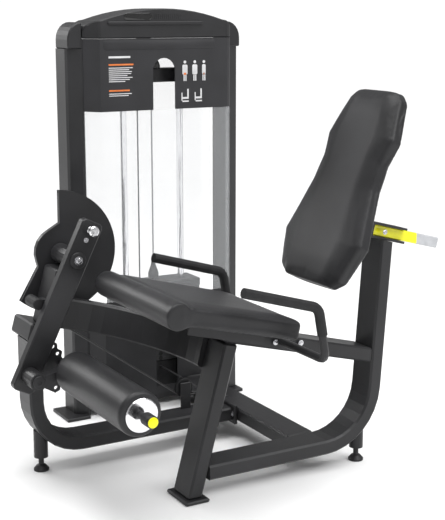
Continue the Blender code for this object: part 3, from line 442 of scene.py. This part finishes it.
def in_bore(point):
    """Whether a point is on the roller's bore, which its axle fills."""
    away = point - ROLLER
    return Vector((0, away.y, away.z)).length < 0.035


BACK_EDGE = (
    (0.125, 0.0), (0.168, 0.028), (0.212, 0.150), (0.190, 0.228), (0.163, 0.335),
    (0.157, 0.420), (0.174, 0.497), (0.133, 0.632), (0.100, 0.660),
)


def back_half(along):
    """The back pad's half width at a height along it."""
    along = min(max(along, 0.0), BACK_EDGE[-1][1])
    for (wide, low), (next_wide, high) in zip(BACK_EDGE, BACK_EDGE[1:]):
        if along <= high:
            return wide + (next_wide - wide) * (along - low) / (high - low)
    return BACK_EDGE[-1][0]


def smooth(value):
    """0 to 1 with a gentle start and end."""
    value = min(max(value, 0.0), 1.0)
    return value * value * (3 - 2 * value)


def crowned_back(point):
    """Rolls the front face off towards its long edges and its two ends."""
    away = point - BACK_FOOT
    along, behind = away.dot(BACK_UP), away.dot(BACK_OUT)
    side = smooth((abs(point.x) / back_half(along) - 0.50) / 0.50)
    end = smooth((0.10 - along) / 0.10) + smooth((along - 0.57) / 0.09)
    roll = 0.012 * side + 0.006 * min(end, 1.0)
    return point + BACK_OUT * roll * smooth((0.056 - behind) / 0.05)


def crowned_seat(point):
    """Rolls the top off towards the sides and the rear."""
    away = point - SEAT_FRONT
    along, drop = away.dot(SEAT_BACKWARD), -away.dot(SEAT_UP)
    share = min(max(along, 0.0), SEAT_LENGTH) / SEAT_LENGTH
    half = SEAT_HALF_FRONT + (SEAT_HALF_REAR - SEAT_HALF_FRONT) * share
    side = smooth((abs(point.x) / half - 0.72) / 0.28)
    end = smooth((along - 0.34) / 0.08)
    roll = 0.007 * max(side, end) * smooth((along + 0.01) / 0.04)
    return point - SEAT_UP * roll * smooth((0.060 - drop) / 0.05)


def make_pads():
    pad("seat_pad", "seat_cushion", "frame", under_seat, 0.0015, 0.003, crown=crowned_seat)
    pad("back_pad", "backrest_pad", "backrest", behind_back, 0.0015, 0.0035, crown=crowned_back)
    pad("roller_foam", "roller_pad", "roller", in_bore, 0.0010, 0.0020, voxel=0.005)


# Cable above the stack, which shortens as the stack rises


TOWER_Y = 0.335
ROD_X = -0.900
CABLE_TOP, CABLE_FOOT, CABLE_R = 1.3516, 0.5659, 0.003


def make_stack_cable():
    """A closed tube in short lengths."""
    rings, sides = 41, 10
    turns = [2 * pi * k / sides for k in range(sides)]
    shape = bmesh.new()
    rows = []
    for i in range(rings):
        z = CABLE_FOOT + (CABLE_TOP - CABLE_FOOT) * i / (rings - 1)
        rows.append([
            shape.verts.new((ROD_X + CABLE_R * cos(turn), TOWER_Y + CABLE_R * sin(turn), z)) for turn in turns
        ])
    for low, high in zip(rows, rows[1:]):
        for k in range(sides):
            shape.faces.new((low[k], low[(k + 1) % sides], high[(k + 1) % sides], high[k]))
    shape.faces.new(rows[0][::-1])
    shape.faces.new(rows[-1])
    obj = add_piece("lift_cable", shape, "lift_cable_coat", "frame")
    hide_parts("stack_cable")
    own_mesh(obj)


# Fasteners and caps


def add_bolts(name, bolts, body):
    """One piece of several bolts: each is (place, axis, radius)."""
    shape = bmesh.new()
    for at, axis, radius in bolts:
        add_bolt(shape, at, axis, radius)
    add_piece(name, shape, "bolt_steel", body)


def add_cap(name, at, radius, height):
    """A round black cap on the swing arm, facing the user's left."""
    shape = bmesh.new()
    add_dome(shape, at, (1, 0, 0), radius, height)
    add_piece(name, shape, "black_plastic", "swing_arm")


def make_fasteners():
    left, front = (1, 0, 0), (0, -1, 0)
    seat_bolts = [((0.0600, 0.280, 0.479), left, 0.0065), ((0.0600, 0.375, 0.463), left, 0.0065)]
    add_bolts("seat_bolts", seat_bolts, "frame")
    add_bolts("flange_bolt", [((-0.393, 0.388, 0.088), front, 0.0075)], "frame")
    add_cap("pivot_cap", PIVOT, 0.027, 0.007)
    arm_bolts = [((-0.3134, PIVOT.y, PIVOT.z), left, 0.010), ((-0.320, -0.189, 0.785), left, 0.0055)]
    add_bolts("pivot_bolts", arm_bolts, "swing_arm")
    add_cap("hub_cap", (-0.2396, -0.3921, 0.3708), 0.021, 0.006)
    shape = bmesh.new()
    face = [(0, -SUNK), (0.0155, -SUNK), (0.0155, 0.0012), (0.0140, 0.0022), (0, 0.0026)]
    add_turned(shape, face, (0.309, ROLLER.y, ROLLER.z), left, 28)
    add_piece("knob_face", shape, "yellow_cap", "crank_knob")
    add_bolts("lever_bolt", [((0.0300, 0.7199, 0.7831), left, 0.006)], "frame")


# Tower trim, with blank bars and plain marks where a real one has print

FACE_X = -0.792
BEHIND = 0.0003  # how far a plate starts inside the face
PRINT = 0.0006  # how far a printed mark stands proud
TEXT_LEFT = 0.1156
BAR_PITCH = 0.0068
BAR_HIGH = 0.0028


def add_plate(shape, low, high, proud=PRINT):
    """A thin plate on the tower's face: low and high are its (y, z) corners."""
    add_block(shape, (FACE_X - BEHIND, *low), (FACE_X + proud, *high))


def add_round_plate(shape, centre, half_wide, half_high, proud, radius=None):
    """A plate with rounded corners on the tower's face, round centre (y, z)."""
    radius = radius or half_high
    steps = 8
    outline = []
    for quarter, (sy, sz) in enumerate(((1, 1), (-1, 1), (-1, -1), (1, -1))):
        for i in range(steps + 1):
            turn = radians(90 * quarter + 90 * i / steps)
            outline.append((
                centre[0] + sy * (half_wide - radius) + radius * cos(turn),
                centre[1] + sz * (half_high - radius) + radius * sin(turn),
            ))
    rings = []
    for x, inset in ((-BEHIND, 0.0), (proud * 0.6, 0.0), (proud, proud * 0.5)):
        rings.append([
            shape.verts.new((
                FACE_X + x, y + (centre[0] - y) * inset / half_wide, z + (centre[1] - z) * inset / half_high,
            ))
            for y, z in outline
        ])
    count = len(outline)
    for low, high in zip(rings, rings[1:]):
        for k in range(count):
            shape.faces.new((low[k], low[(k + 1) % count], high[(k + 1) % count], high[k]))
    shape.faces.new(rings[0][::-1])
    shape.faces.new(rings[-1])


def add_bars(shape, top, lengths):
    """Rows of blank bars where a real panel has lines of text."""
    for k, length in enumerate(lengths):
        foot = top - BAR_PITCH * k
        add_plate(shape, (TEXT_LEFT, foot), (TEXT_LEFT + length * 0.9, foot + BAR_HIGH))


def make_hood_trim():
    shape = bmesh.new()
    add_round_plate(shape, (0.322, 1.3725), 0.224, 0.0165, 0.0012, radius=0.008)
    add_piece("header_strip", shape, "panel_print", "frame")
    shape = bmesh.new()
    add_round_plate(shape, (0.305, 1.449), 0.190, 0.0065, 0.0060)
    add_piece("hood_ledge", shape, "black_plastic", "frame")
    shape = bmesh.new()
    add_round_plate(shape, (0.233, 1.4715), 0.055, 0.0125, 0.0016)
    add_piece("blank_badge", shape, "badge_black", "frame")
    shape = bmesh.new()
    for k in range(14):
        add_plate(shape, (0.298 + 0.008 * k, 1.463), (0.3012 + 0.008 * k, 1.480), proud=0.0012)
    add_piece("hood_ribs", shape, "black_plastic", "frame")


def make_panel_marks():
    shape = bmesh.new()
    add_plate(shape, (TEXT_LEFT, 1.3275), (0.200, 1.3345))
    add_bars(shape, 1.2920, (0.104, 0.088, 0.100, 0.096, 0.080, 0.102, 0.090, 0.070))
    add_bars(shape, 1.2010, (0.098, 0.084))
    for y, half_wide in ((0.420, 0.0105), (0.461, 0.0105), (0.499, 0.0075)):
        add_round_plate(shape, (y, 1.3085), 0.0055, 0.0055, PRINT)
        add_round_plate(shape, (y, 1.2810), half_wide, 0.0180, PRINT, radius=0.005)
        add_plate(shape, (y - 0.0060, 1.2400), (y - 0.0015, 1.2620))
        add_plate(shape, (y + 0.0015, 1.2400), (y + 0.0060, 1.2620))
    for y in (0.4250, 0.4800):
        add_plate(shape, (y - 0.016, 1.1640), (y + 0.010, 1.1690))
        add_plate(shape, (y - 0.016, 1.1750), (y + 0.004, 1.1820))
        add_plate(shape, (y + 0.004, 1.1750), (y + 0.010, 1.2110))
        add_plate(shape, (y - 0.020, 1.1690), (y - 0.016, 1.1980))
    add_piece("panel_marks", shape, "white_mark", "frame")
    shape = bmesh.new()
    add_plate(shape, (TEXT_LEFT, 1.3020), (0.212, 1.3075))
    add_plate(shape, (TEXT_LEFT, 1.2110), (0.196, 1.2165))
    add_round_plate(shape, (0.420, 1.2660), 0.006, 0.004, 0.0010)
    add_round_plate(shape, (0.499, 1.2640), 0.003, 0.005, 0.0010)
    add_piece("panel_headings", shape, "orange_mark", "frame")


STACK_FOOT, PLATE_PITCH, PLATES = 0.175, 0.0185, 15


def make_tower_inside():
    shape = bmesh.new()
    add_block(shape, (-0.953, 0.262, 0.070), (-0.849, 0.408, 0.1745))
    soften(add_piece("stack_rest", shape, "grip_rubber", "frame"), 0.006)
    shape = bmesh.new()
    for y in (0.0405, 0.6288):
        add_block(shape, (-0.8530, y - 0.0035, 0.070), (-0.8475, y + 0.0035, 1.3950))
    add_piece("corner_seals", shape, "black_plastic", "frame")
    shape = bmesh.new()
    # painted shade: flat near-black discs on each plate's face stand for the shade inside its pin hole
    hole = [(0, -SUNK), (0.0085, -SUNK), (0.0085, 0.0003), (0.0062, 0.0003), (0.0060, 0.0001), (0, 0.0001)]
    for k in range(PLATES):
        add_turned(shape, hole, (-0.845, TOWER_Y, STACK_FOOT + PLATE_PITCH * (k + 0.5)), (1, 0, 0), 20)
    add_piece("plate_hole_shade", shape, "painted_hole_shade", "frame")


# Staging

WORLD_LIGHT = 0.36
FLOOR_HALF = 60.0


def make_stage():
    shape = bmesh.new()
    bmesh.ops.create_grid(shape, x_segments=24, y_segments=24, size=FLOOR_HALF)
    for vertex in shape.verts:
        vertex.co.z = -0.0005
    mesh = bpy.data.meshes.new("floor")
    shape.to_mesh(mesh)
    shape.free()
    floor = bpy.data.objects.new("floor", mesh)
    bpy.context.scene.collection.objects.link(floor)
    made, tree, shader = shader_tree("pale floor", (0.92, 0.92, 0.92), 0.6)
    field = noise_field(tree, 2.0, 2.0)
    tree.links.new(ramp(tree, field.outputs["Fac"], 0.91, 0.93), shader.inputs["Base Color"])
    mesh.materials.append(made)

    world = bpy.data.worlds.new("studio")
    world.use_nodes = True
    background = world.node_tree.nodes["Background"]
    background.inputs["Color"].default_value = (1, 1, 1, 1)
    rays = world.node_tree.nodes.new("ShaderNodeLightPath")
    level = world.node_tree.nodes.new("ShaderNodeMapRange")
    level.inputs["To Min"].default_value = WORLD_LIGHT
    level.inputs["To Max"].default_value = 1.05
    world.node_tree.links.new(rays.outputs["Is Camera Ray"], level.inputs["Value"])
    world.node_tree.links.new(level.outputs["Result"], background.inputs["Strength"])
    bpy.context.scene.world = world
    bpy.context.scene.view_settings.view_transform = "Standard"


def soft_light(name, place, target, size, power):
    """A rectangular area light at a place, facing a target."""
    lamp = bpy.data.lights.new(name, "AREA")
    lamp.shape = "RECTANGLE"
    lamp.size, lamp.size_y = size
    lamp.energy = power
    obj = bpy.data.objects.new(name, lamp)
    bpy.context.scene.collection.objects.link(obj)
    obj.location = place
    obj.rotation_euler = (Vector(target) - Vector(place)).to_track_quat("-Z", "Y").to_euler()


def make_lights():
    sun = bpy.data.lights.new("sky", "SUN")
    sun.energy = 2.9
    sun.angle = radians(70)
    obj = bpy.data.objects.new("sky", sun)
    bpy.context.scene.collection.objects.link(obj)
    obj.rotation_euler = Vector((-0.28, -0.10, -1.0)).to_track_quat("-Z", "Y").to_euler()
    soft_light("key", (2.4, 1.6, 2.8), (-0.2, 0.2, 0.7), (1.2, 1.2), 34)
    soft_light("left box", (-3.0, -1.3, 2.2), (0.0, 0.1, 0.8), (1.5, 1.5), 38)
    soft_light("overhead", (-0.4, -0.4, 3.2), (-0.2, 0.2, 0.0), (1.6, 1.2), 26)


CAMERA_TURN = radians(-29.9)
CAMERA_RISE = radians(11.95)
CAMERA_TARGET = Vector((-0.3094, 0.3008, 0.6716))
CAMERA_DISTANCE = 4.0
CAMERA_LENS = 82.3


def make_camera():
    level = cos(CAMERA_RISE)
    towards = Vector((level * cos(CAMERA_TURN), level * sin(CAMERA_TURN), sin(CAMERA_RISE)))
    camera = bpy.data.objects.new("camera", bpy.data.cameras.new("camera"))
    bpy.context.scene.collection.objects.link(camera)
    camera.location = CAMERA_TARGET + towards * CAMERA_DISTANCE
    camera.rotation_euler = (-towards).to_track_quat("-Z", "Y").to_euler()
    camera.data.lens = CAMERA_LENS
    camera.data.clip_end = 60
    bpy.context.scene.camera = camera


dress_nodes()
make_pads()
make_stack_cable()
make_fasteners()
make_hood_trim()
make_panel_marks()
make_tower_inside()
make_stage()
make_lights()
make_camera()
